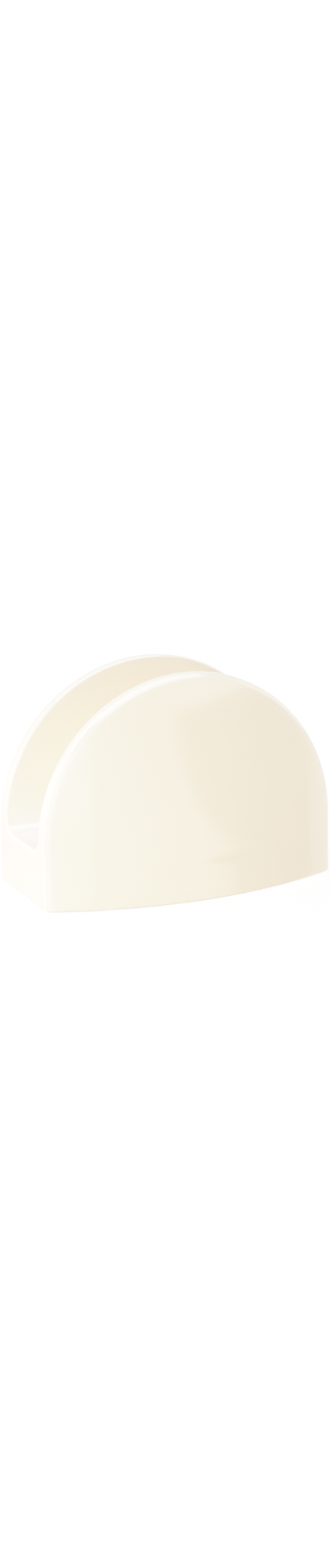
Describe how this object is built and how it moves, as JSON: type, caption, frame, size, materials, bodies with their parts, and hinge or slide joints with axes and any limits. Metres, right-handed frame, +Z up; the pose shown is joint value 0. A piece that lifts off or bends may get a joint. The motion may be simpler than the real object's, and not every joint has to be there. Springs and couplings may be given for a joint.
{
  "type": "napkin holder",
  "caption": "Table napkin holder in glazed porcelain: two arched walls with domed outer faces on a coved trough, and a slot open at the top and at both ends.",
  "frame": {"origin": "on the table, under the middle of the slot", "axes": "+X along the slot, +Y across it to the back wall, +Z up"},
  "size_m": [0.118, 0.0702, 0.0825],
  "materials": {
    "ivory_glaze": "gloss"
  },
  "bodies": {
    "root": {"front_wall": "ivory_glaze", "back_wall": "ivory_glaze", "saddle": "ivory_glaze"}
  },
  "joints": []
}
